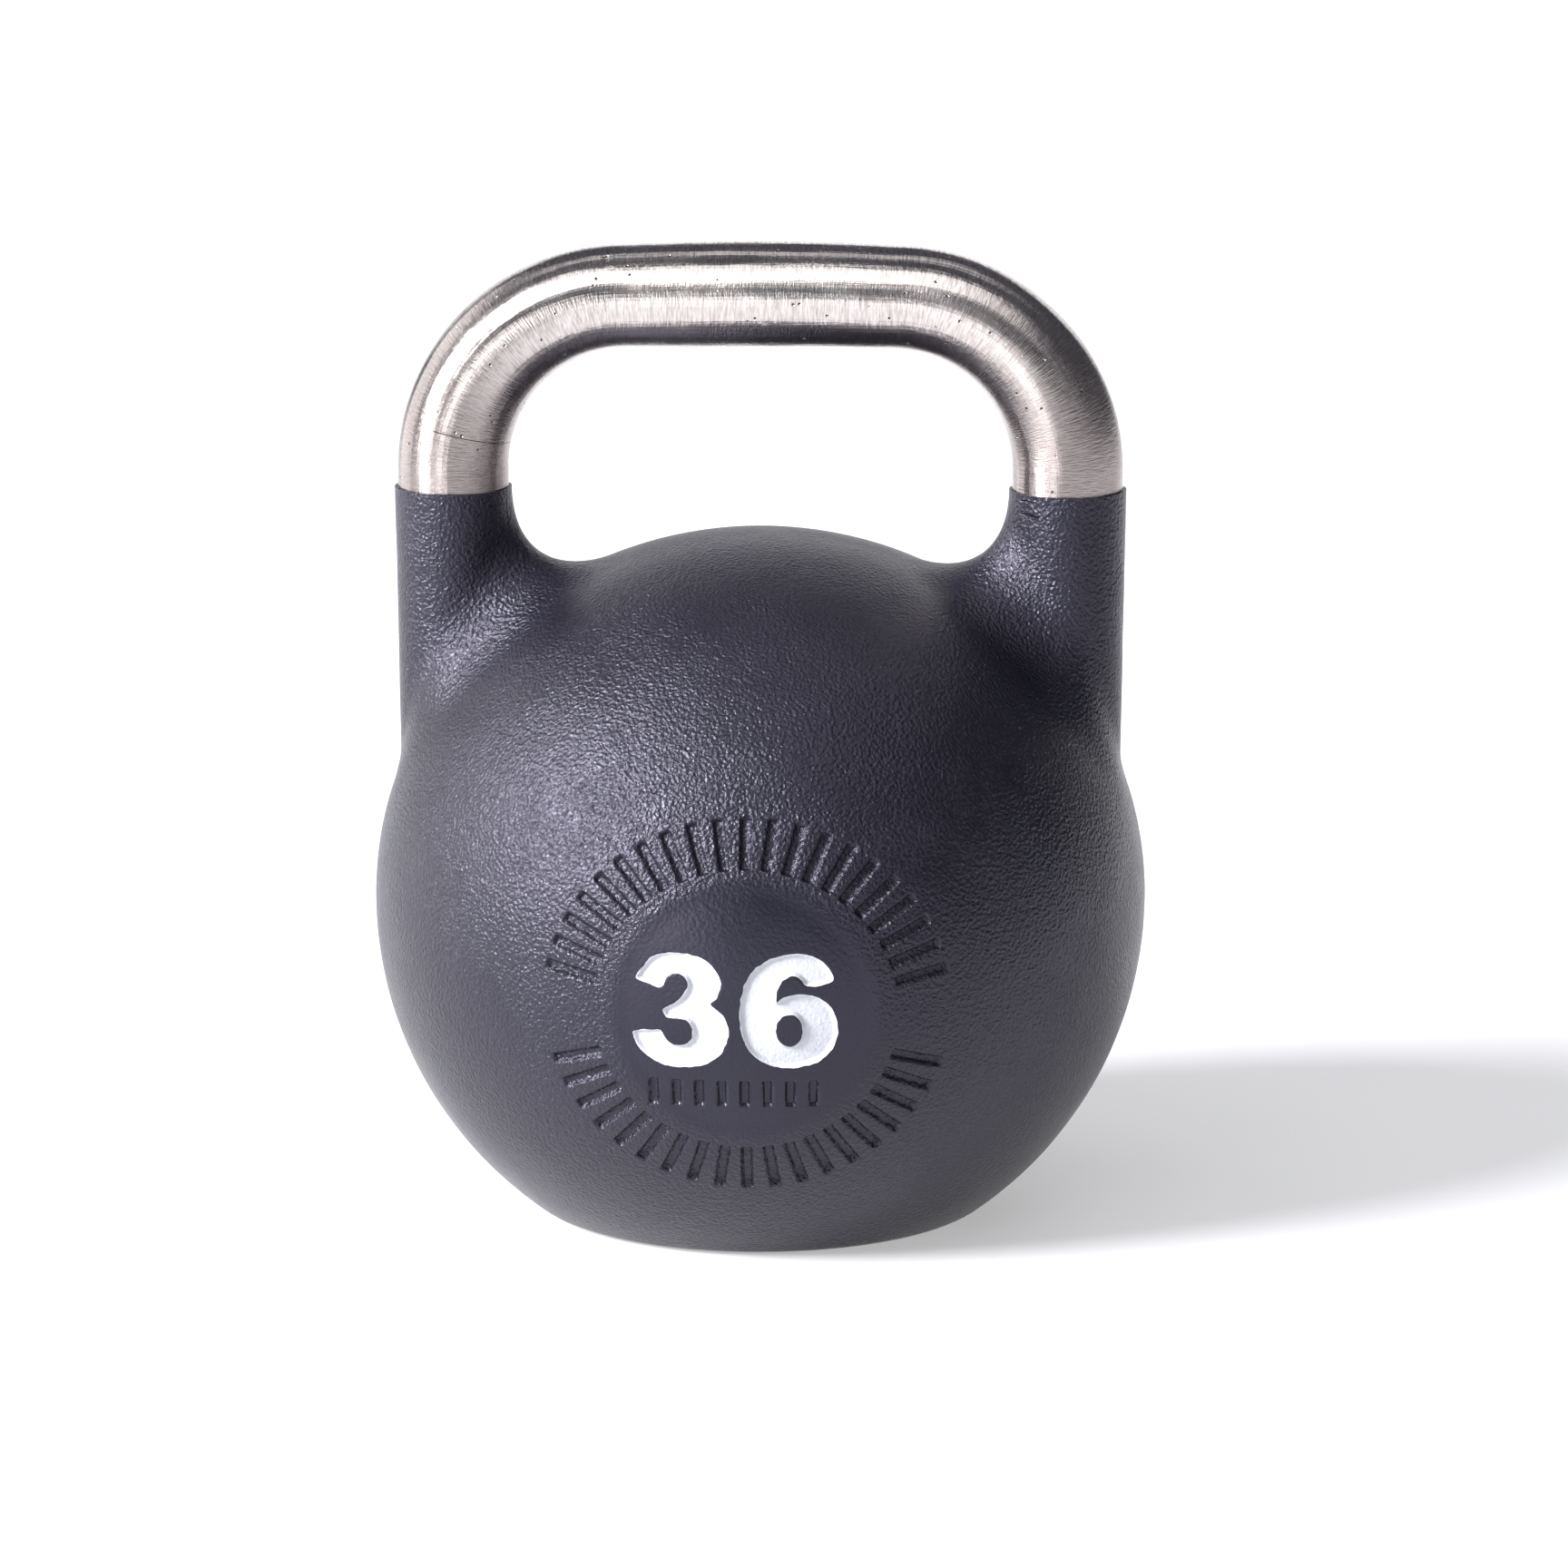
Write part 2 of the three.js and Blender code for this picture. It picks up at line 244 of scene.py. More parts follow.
@dataclass(frozen=True)
class PowderCoat(Finish):
    """Polyester powder coat, baked on a sand casting: satin, with a leathery orange peel."""

    dark: str = "100f16"
    light: str = "1a1923"
    sheen: str = "dedbf2"
    roughness: float = 0.3
    # The peel of a thick coat on sand-cast iron is about a millimetre across, which shows.
    grain_mm: float = 0.85
    pore_mm: float = 1.1
    patch_mm: float = 24.0
    peel_depth: float = 0.6 * MM
    disc_centre: tuple[float, float] = (0.0, 0.0)
    disc_radius: float = 0.0
    disc_peel: float = 0.22
    chips: tuple[Place, ...] = ()

    def shade(self, add: Add) -> Inputs:
        """Satin charcoal, mottled a little, with peel that fades on the smooth disc."""
        place = add("ShaderNodeTexCoord").outputs["Object"]
        peel = add(
            "ShaderNodeTexNoise",
            {
                "Vector": place,
                "Scale": per_metre(self.grain_mm),
                "Detail": 2.5,
                "Roughness": 0.55,
                "Distortion": 0.35,
            },
        )
        pores = add(
            "ShaderNodeTexVoronoi",
            {
                "Vector": place,
                "Scale": per_metre(self.pore_mm),
                "Randomness": 1.0,
                "Smoothness": 0.4,
            },
            feature="SMOOTH_F1",
        )
        patches = add(
            "ShaderNodeTexNoise",
            {"Vector": place, "Scale": per_metre(self.patch_mm), "Detail": 3.0, "Roughness": 0.6},
        )
        relief = add("ShaderNodeMath", {0: pores, 1: 0.55, 2: peel}, operation="MULTIPLY_ADD")
        colour = add(
            "ShaderNodeMix",
            {0: patches, 6: linear(self.dark), 7: linear(self.light)},
            data_type="RGBA",
        )
        gloss = add(
            "ShaderNodeMapRange",
            {"Value": patches, "To Min": self.roughness - 0.06, "To Max": self.roughness + 0.07},
        )
        depth = add(
            "ShaderNodeMapRange",
            {"Value": patches, "From Min": 0.3, "From Max": 0.7, "To Min": 0.55, "To Max": 1.0},
        )
        bump = add(
            "ShaderNodeBump",
            {
                "Strength": self.disc_mask(add, place, depth.outputs[0]),
                "Distance": self.peel_depth,
                "Height": self.chipped(add, place, relief.outputs[0]),
            },
        )
        tint = {"Specular Tint": linear(self.sheen), "Base Color": colour.outputs[2]}
        return {**tint, "Roughness": gloss, "Normal": bump}

    def chipped(self, add: Add, place: Socket, relief: Socket) -> Socket:
        """Sinks a small flat chip into the paint at each of the chips' places.

        Args:
            add: Adds a node to the material.
            place: Object coordinates.
            relief: The paint's height without chips.

        Returns:
            The paint's height with them.
        """
        for chip in self.chips:
            away = self.distance(add, place, chip, (0.5, 0.1, 1.5))
            sunk = add(
                "ShaderNodeMapRange",
                {
                    "Value": away,
                    "From Min": 0.45 * MM,
                    "From Max": 0.95 * MM,
                    "To Min": -1.6,
                    "To Max": 0.0,
                },
            )
            added = add("ShaderNodeMath", {0: relief, 1: sunk}, operation="ADD")
            relief = added.outputs[0]
        return relief

    def distance(self, add: Add, place: Socket, centre: Place, weights: Place) -> Socket:
        """Measures the distance to a centre, with a weight for each axis.

        Args:
            add: Adds a node to the material.
            place: Object coordinates.
            centre: Where the distance is nothing.
            weights: How much each axis counts.

        Returns:
            The weighted distance.
        """
        offset = add("ShaderNodeVectorMath", {0: place, 1: centre}, operation="SUBTRACT")
        flat = add("ShaderNodeVectorMath", {0: offset, 1: weights}, operation="MULTIPLY")
        return add("ShaderNodeVectorMath", {0: flat}, operation="LENGTH").outputs[1]

    def disc_mask(self, add: Add, place: Socket, depth: Socket) -> Socket:
        """Fades the peel on the disc that the numerals stand on.

        Args:
            add: Adds a node to the material.
            place: Object coordinates.
            depth: The peel's strength away from the disc.

        Returns:
            The peel's strength everywhere.
        """
        if self.disc_radius == 0.0:
            return depth
        centre = (self.disc_centre[0], 0.0, self.disc_centre[1])
        inside = add(
            "ShaderNodeMapRange",
            {
                "Value": self.distance(add, place, centre, (1.0, 0.0, 1.0)),
                "From Min": self.disc_radius - 3 * MM,
                "From Max": self.disc_radius + 1 * MM,
                "To Min": 1.0,
                "To Max": 0.0,
            },
        )
        front = add("ShaderNodeSeparateXYZ", {0: place}).outputs["Y"]
        facing = add("ShaderNodeMath", {0: front, 1: 0.0}, operation="LESS_THAN")
        on_disc = add("ShaderNodeMath", {0: inside, 1: facing}, operation="MULTIPLY")
        return add(
            "ShaderNodeMapRange",
            {"Value": on_disc, "To Min": depth, "To Max": self.disc_peel},
        ).outputs[0]


@dataclass(frozen=True)
class GroundSteel(Finish):
    """Bare steel bar, ground round its girth with a belt: bright bands with hairy edges."""

    bright: str = "d6cfcc"
    dull: str = "a59c99"
    # Painted shade: a dull brown-grey mixed in down the legs, standing in for their darker
    # reflections.
    painted_leg_shade: str = "8a807e"
    pit: str = "4a423d"
    roughness: float = 0.24
    anisotropy: float = 0.85
    # Sizes along the bar and round it. A belt's scratches are about 0.1 mm wide, too fine to
    # show, so the strokes are drawn 0.42 mm wide.
    stroke_mm: tuple[float, float] = (0.42, 3.4)
    flow_mm: tuple[float, float] = (45.0, 1.1)
    fleck_mm: tuple[float, float] = (0.7, 1.5)
    cloud_mm: tuple[float, float] = (22.0, 14.0)
    pit_spacing_mm: float = 4.4
    relief_depth: float = 0.1 * MM
    length: float = 230 * MM
    girth: float = 2 * math.pi * 15.1 * MM
    nick_at: float = 0.0
    nick_half_width: float = 0.12 * MM

    def shade(self, add: Add) -> Inputs:
        """Metal with strokes round the bar, flow lines along it, pits and one fine nick."""
        run = add("ShaderNodeUVMap", uv_map="bar_run")
        split = add("ShaderNodeSeparateXYZ", {0: run})
        along, round_bar = split.outputs["X"], split.outputs["Y"]
        whole_turn = 2 * math.pi / self.girth
        turn = add("ShaderNodeMath", {0: round_bar, 1: whole_turn}, operation="MULTIPLY")
        sine = add("ShaderNodeMath", {0: turn}, operation="SINE")
        cosine = add("ShaderNodeMath", {0: turn}, operation="COSINE")
        wrapped = add("ShaderNodeCombineXYZ", {0: along, 1: cosine, 2: sine})
        place = wrapped.outputs[0]
        strokes = self.streaks(add, place, *self.stroke_mm)
        flow = self.streaks(add, place, *self.flow_mm)
        flecks = self.streaks(add, place, *self.fleck_mm)
        clouds = self.streaks(add, place, *self.cloud_mm)
        marks = self.marks(add, place, along, round_bar)
        worn = add("ShaderNodeMapRange", {"Value": strokes, "From Min": 0.35, "From Max": 0.75})
        # The legs get painted shade, a dull brown-grey standing in for their darker reflections.
        leg_shade_share = self.leg_shade_share(add, along)
        colour: Socket | tuple[float, ...] = linear(self.bright)
        for share, shown in ((worn, self.dull), (leg_shade_share, self.painted_leg_shade), (marks, self.pit)):
            mixed = add("ShaderNodeMix", {0: share, 6: colour, 7: linear(shown)}, data_type="RGBA")
            colour = mixed.outputs[2]
        gloss = add(
            "ShaderNodeMapRange",
            {
                "Value": clouds,
                "From Min": 0.3,
                "From Max": 0.7,
                "To Min": self.roughness - 0.05,
                "To Max": self.roughness + 0.05,
            },
        )
        rough_patch = add(
            "ShaderNodeMapRange",
            {"Value": clouds, "From Min": 0.48, "From Max": 0.62, "To Min": 0.0, "To Max": 0.9},
        )
        fleck_relief = add("ShaderNodeMath", {0: flecks, 1: rough_patch}, operation="MULTIPLY")
        relief = add("ShaderNodeMath", {0: flow, 1: 0.7, 2: strokes}, operation="MULTIPLY_ADD")
        ground = add("ShaderNodeMath", {0: relief, 1: fleck_relief}, operation="ADD")
        dents = add("ShaderNodeMath", {0: marks, 1: -1.5, 2: ground}, operation="MULTIPLY_ADD")
        bump = add(
            "ShaderNodeBump",
            {"Strength": 1.0, "Distance": self.relief_depth, "Height": dents},
        )
        grain = add("ShaderNodeTangent", direction_type="UV_MAP", uv_map="bar_run")
        metal = {"Metallic": 1.0, "Anisotropic": self.anisotropy, "Tangent": grain}
        return {**metal, "Base Color": colour, "Roughness": gloss, "Normal": bump}

    def marks(self, add: Add, place: Socket, along: Socket, round_bar: Socket) -> Node:
        """Marks the small pits, and a nick across the inner front of the bar.

        Args:
            add: Adds a node to the material.
            place: Run along the bar, and the cosine and sine of the turn round it.
            along: Run along the bar.
            round_bar: Run round the bar.

        Returns:
            A node that gives 1 on a mark and 0 elsewhere.
        """
        spots = add(
            "ShaderNodeTexVoronoi",
            {
                "Vector": self.scaled(add, place, self.pit_spacing_mm, self.pit_spacing_mm),
                "Scale": 1.0,
                "Randomness": 1.0,
            },
        )
        pits = add(
            "ShaderNodeMapRange",
            {"Value": spots, "From Min": 0.06, "From Max": 0.1, "To Min": 1.0, "To Max": 0.0},
        )
        from_nick = add(
            "ShaderNodeMath",
            {0: along, 1: self.nick_at, 2: self.nick_half_width},
            operation="COMPARE",
        )
        inner = 0.68 * self.girth
        inner_half = add("ShaderNodeMath", {0: round_bar, 1: inner}, operation="GREATER_THAN")
        nick = add("ShaderNodeMath", {0: from_nick, 1: inner_half}, operation="MULTIPLY")
        return add("ShaderNodeMath", {0: pits, 1: nick}, operation="MAXIMUM")

    def leg_shade_share(self, add: Add, along: Socket) -> Node:
        """Says how much painted shade goes on the steel: a dull brown-grey that stands in for the
        darker reflections down the bar's legs.

        Args:
            add: Adds a node to the material.
            along: Run along the bar.

        Returns:
            A node that gives the painted shade's share.
        """
        half = self.length / 2
        from_middle = add("ShaderNodeMath", {0: along, 1: half}, operation="SUBTRACT")
        reach = add("ShaderNodeMath", {0: from_middle}, operation="ABSOLUTE")
        return add(
            "ShaderNodeMapRange",
            {
                "Value": reach,
                "From Min": half - 62 * MM,
                "From Max": half - 16 * MM,
                "To Min": 0.0,
                "To Max": 0.75,
            },
        )

    def scaled(self, add: Add, place: Socket, along_mm: float, round_mm: float) -> Node:
        """Scales places on the bar, so that one feature has the given size each way."""
        girth_scale = per_metre(round_mm) * self.girth / (2 * math.pi)
        scale = (per_metre(along_mm), girth_scale, girth_scale)
        return add("ShaderNodeVectorMath", {0: place, 1: scale}, operation="MULTIPLY")

    def streaks(self, add: Add, place: Socket, along_mm: float, round_mm: float) -> Node:
        """Adds noise whose features have the given size along the bar and round it.

        Args:
            add: Adds a node to the material.
            place: Run along the bar, and the cosine and sine of the turn round it.
            along_mm: Size along the bar.
            round_mm: Size round the bar.

        Returns:
            The noise.
        """
        return add(
            "ShaderNodeTexNoise",
            {
                "Vector": self.scaled(add, place, along_mm, round_mm),
                "Scale": 1.0,
                "Detail": 3.0,
                "Roughness": 0.55,
            },
        )


@dataclass(frozen=True)
class BrushedEnamel(Finish):
    """White enamel paint, filled in by brush: an even satin white with a faint paint grain."""

    white: str = "c2c4c9"
    shade_white: str = "a2a4ae"
    film_mm: float = 2.5
    peel_mm: float = 0.9

    def shade(self, add: Add) -> Inputs:
        """Cool white, with the casting's peel just showing through the paint."""
        place = add("ShaderNodeTexCoord").outputs["Object"]
        film = add(
            "ShaderNodeTexNoise",
            {"Vector": place, "Scale": per_metre(self.film_mm), "Detail": 5.0, "Roughness": 0.75},
        )
        peel = add(
            "ShaderNodeTexNoise",
            {"Vector": place, "Scale": per_metre(self.peel_mm), "Detail": 2.0, "Roughness": 0.5},
        )
        colour = add(
            "ShaderNodeMix",
            {0: film, 6: linear(self.white), 7: linear(self.shade_white)},
            data_type="RGBA",
        ).outputs[2]
        relief = {"Strength": 0.8, "Distance": 0.24 * MM, "Height": peel}
        bump = add("ShaderNodeBump", relief)
        return {"Base Color": colour, "Roughness": 0.42, "Normal": bump}


@dataclass(frozen=True)
class Mottled(Finish):
    """A plain material whose colour and relief vary with one noise."""

    first: str = "808080"
    second: str = "606060"
    roughness: float = 0.6
    metallic: float = 0.0
    spot_mm: float = 2.0
    depth_mm: float = 0.05
    glow: float = 0.0

    def shade(self, add: Add) -> Inputs:
        """Two close colours, mixed by the same noise that raises the surface."""
        place = add("ShaderNodeTexCoord").outputs["Object"]
        spots = add(
            "ShaderNodeTexNoise",
            {"Vector": place, "Scale": per_metre(self.spot_mm), "Detail": 4.0, "Roughness": 0.6},
        )
        colour = add(
            "ShaderNodeMix",
            {0: spots, 6: linear(self.first), 7: linear(self.second)},
            data_type="RGBA",
        ).outputs[2]
        relief = {"Strength": 0.6, "Distance": self.depth_mm * MM, "Height": spots}
        bump = add("ShaderNodeBump", relief)
        shine = {"Roughness": self.roughness, "Metallic": self.metallic}
        glow = {"Emission Color": (1.0, 1.0, 1.0, 1.0), "Emission Strength": self.glow}
        return {"Base Color": colour, "Normal": bump, **shine, **glow}


# ---------------------------------------------------------------- marks on the face


@dataclass(frozen=True)
class Numeral:
    """One cast numeral: rounded runs of points, in millimetres, that meet at corners."""

    name: str
    left: float
    runs: tuple[tuple[tuple[float, float], ...], ...]
    hole: tuple[float, float, float, float] | None = None

    def loops(self, step: int = 6) -> list[np.ndarray]:
        """Samples the numeral's outline.

        Args:
            step: Points between two neighbours of a run.

        Returns:
            The outer loop, and the counter's loop if there is one, in millimetres.
        """
        outer: list[tuple[float, float]] = []
        for run in self.runs:
            padded = np.array([run[0], *run, run[-1]])
            for i in range(len(run) - 1):
                before, start, end, after = padded[i : i + 4]
                for k in range(step):
                    t = k / step
                    bend = 2 * start - 2 * end + (end - before + after - start) / 2
                    sag = 3 * (end - start) - (end - before) - (after - start) / 2
                    at = start + t * (end - before) / 2 + t * t * sag + t**3 * bend
                    outer.append((float(at[0]), float(at[1])))
            outer.append(run[-1])
        loops = [self.rounded(np.array(outer))]
        if self.hole:
            x, y, half_x, half_y = self.hole
            turn = np.linspace(0, 2 * np.pi, 40, endpoint=False)
            loops.append(np.stack([x + half_x * np.cos(turn), y + half_y * np.sin(turn)], 1))
        return loops

    def rounded(self, loop: np.ndarray, pitch: float = 0.35, passes: int = 7) -> np.ndarray:
        """Spaces a loop's points evenly and rounds its corners.

        Args:
            loop: Points in millimetres.
            pitch: Distance between points afterwards.
            passes: How often each point moves towards its neighbours.

        Returns:
            The rounded loop.
        """
        closed = np.vstack([loop, loop[:1]])
        run = np.concatenate([[0], np.cumsum(np.hypot(*np.diff(closed, axis=0).T))])
        places = np.linspace(0, run[-1], round(run[-1] / pitch), endpoint=False)
        even = np.stack([np.interp(places, run, closed[:, k]) for k in (0, 1)], 1)
        for _ in range(passes):
            even = 0.5 * even + 0.25 * (np.roll(even, 1, axis=0) + np.roll(even, -1, axis=0))
        return even


THREE = Numeral(
    "numeral_3",
    -27.0,
    (
        (
            (0.9, 24.5), (5.7, 30.7), (12.2, 32), (19.7, 30.2), (23.6, 24.6), (22.6, 20.2),
            (20.5, 18.3),
        ),
        (
            (24.4, 15), (25.6, 10.3), (24.1, 4.9), (19.2, 1.1), (13.2, 0), (7.3, 0.9),
            (2.2, 4.6), (0, 9.7),
        ),
        ((7.8, 10.6), (9.5, 7.4), (12.4, 6.1), (15.4, 7.6), (16.2, 10.6), (14.9, 13.3), (13, 13.9)),
        ((9.2, 13.9),),
        ((8, 16.3), (12.7, 19.2), (15, 22.9), (13.9, 25.7), (11.4, 26.4), (9.3, 25), (8.4, 22.6)),
        ((7, 22.3),),
    ),
)
SIX = Numeral(
    "numeral_6",
    1.4,
    (
        (
            (24.6, 25.7), (21.4, 30), (15.7, 32), (8.6, 31), (3.2, 27.1), (0.8, 21.7), (0, 14.8),
            (1.4, 7.3), (4.6, 2.9), (9.8, 0.4), (15.7, 0.2), (21.4, 2.2), (24.9, 6.8), (25.6, 11.9),
            (23.8, 17.2), (20, 20.2), (15.7, 21), (11.9, 20.2), (9.5, 18.5),
        ),
        ((9.6, 20.2), (10.6, 24), (13.5, 26.2), (15.9, 25.2), (17.1, 23.1)),
        ((21.1, 23.1),),
        ((24.4, 24.4),),
    ),
    hole=(13.0, 10.9, 3.5, 4.5),
)


@dataclass(frozen=True)
class FaceMarks:
    """What is pressed into the front of the ball, seen straight on along +Y."""

    numerals: tuple[Numeral, ...] = (THREE, SIX)
    numeral_centre: tuple[float, float] = (-3.3 * MM, 77.2 * MM)
    numeral_height: float = 31.2 * MM
    numeral_depth: float = 1.05 * MM
    ring_centre: tuple[float, float] = (-0.4 * MM, 76.3 * MM)
    ring_stretch: float = 1.05
    ring_middle: float = 44.6 * MM
    bar_length: float = 13.4 * MM
    bar_width: float = 3.2 * MM
    bar_depth: float = 1.25 * MM
    bar_wall: float = 0.75 * MM
    bar_pitch: float = math.radians(7.8)
    upper_span: tuple[float, float] = (math.radians(12.0), math.radians(168.0))
    lower_span: tuple[float, float] = (math.radians(198.0), math.radians(342.0))
    disc_radius: float = 35.8 * MM
    disc_depth: float = 0.35 * MM
    tally_z: float = -22.2 * MM
    tally_depth: float = 1.1 * MM
    tally_count: int = 8
    tally_pitch: float = 6.0 * MM
    tally_size: tuple[float, float] = (2.9 * MM, 7.8 * MM)
    bar_corner: float = 0.5 * MM
    numeral_wall: float = 0.9 * MM
    # The numerals' floors lie this much deeper than the face that their film follows.
    film_room: float = 0.3 * MM
    disc_wall: float = 5 * MM

    def outlines(self, numeral: Numeral) -> list[np.ndarray]:
        """Gives a numeral's loops in place, in metres, as rows of x and z."""
        low = self.numeral_centre[1] - self.numeral_height / 2
        corner = np.array([self.numeral_centre[0] + numeral.left * MM, low])
        scale = np.array([MM, MM * self.numeral_height / (32 * MM)])
        return [loop * scale + corner for loop in numeral.loops()]

    def inside_numeral(self, numeral: Numeral, x: np.ndarray, z: np.ndarray) -> np.ndarray:
        """Measures how far points lie inside a numeral's outline.

        Args:
            numeral: The numeral.
            x: The points' places across the ball.
            z: The points' heights.

        Returns:
            Distance to the outline, positive inside.
        """
        nearest = np.full(x.shape, 1.0)
        crossings = np.zeros(x.shape, int)
        for loop in self.outlines(numeral):
            for (ax, az), (bx, bz) in zip(loop, np.roll(loop, -1, axis=0)):
                dx, dz = bx - ax, bz - az
                length = dx * dx + dz * dz
                if length < 1e-14:
                    continue
                part = np.clip(((x - ax) * dx + (z - az) * dz) / length, 0, 1)
                away = np.hypot(x - ax - part * dx, z - az - part * dz)
                nearest = np.minimum(nearest, away)
                spans = (az > z) != (bz > z)
                if dz != 0:
                    crossings += spans & (x < ax + (z - az) / dz * dx)
        return np.where(crossings % 2 == 1, nearest, -nearest)

    def inside_bar(
        self, across: np.ndarray, along: np.ndarray, size: tuple[float, float]
    ) -> np.ndarray:
        """Measures how far points lie inside a round-cornered bar centred on the origin.

        Args:
            across: Places across the bar.
            along: Places along the bar.
            size: The bar's width and length.

        Returns:
            Distance to the bar's edge, positive inside.
        """
        corner = self.bar_corner
        over_x = np.abs(across) - size[0] / 2 + corner
        over_y = np.abs(along) - size[1] / 2 + corner
        outside = np.hypot(np.maximum(over_x, 0), np.maximum(over_y, 0))
        return corner - outside - np.minimum(np.maximum(over_x, over_y), 0)

    def pressed(self, inside: np.ndarray, depth: float, wall: float) -> np.ndarray:
        """Turns distance inside an edge into depth, down a soft cast wall."""
        t = np.clip(inside / wall, 0, 1)
        return depth * t * t * (3 - 2 * t)

    def bars(self, x: np.ndarray, z: np.ndarray) -> np.ndarray:
        """Gives the depth of the plain bars: two arcs of them, and a short row."""
        dx, dz = x - self.ring_centre[0], z - self.ring_centre[1]
        out = np.hypot(dx / self.ring_stretch, dz)
        turn = np.arctan2(dz, dx / self.ring_stretch) % (2 * math.pi)
        depth = np.zeros(x.shape)
        for start, end in (self.upper_span, self.lower_span):
            count = round((end - start) / self.bar_pitch)
            for k in range(count + 1):
                middle = start + (end - start) * k / count
                across = out * np.sin(turn - middle)
                along = out * np.cos(turn - middle) - self.ring_middle
                inside = self.inside_bar(across, along, (self.bar_width, self.bar_length))
                depth = np.maximum(depth, self.pressed(inside, self.bar_depth, self.bar_wall))
        for k in range(self.tally_count):
            from_middle = (k - (self.tally_count - 1) / 2) * self.tally_pitch
            across = dx - self.numeral_centre[0] - from_middle
            inside = self.inside_bar(across, dz - self.tally_z, self.tally_size)
            depth = np.maximum(depth, self.pressed(inside, self.tally_depth, self.bar_wall))
        return depth

    def numeral_pressing(self, x: np.ndarray, z: np.ndarray) -> np.ndarray:
        """Gives the depth of the numerals' recesses."""
        depth = np.zeros(x.shape)
        for numeral in self.numerals:
            inside = self.inside_numeral(numeral, x, z)
            depth = np.maximum(depth, self.pressed(inside, self.numeral_depth, self.numeral_wall))
        return depth

    def disc(self, x: np.ndarray, z: np.ndarray) -> np.ndarray:
        """Gives the depth of the shallow disc that the numerals stand on."""
        out = np.hypot(x - self.ring_centre[0], z - self.ring_centre[1])
        return self.pressed(self.disc_radius - out, self.disc_depth, self.disc_wall)


# ---------------------------------------------------------------- pieces


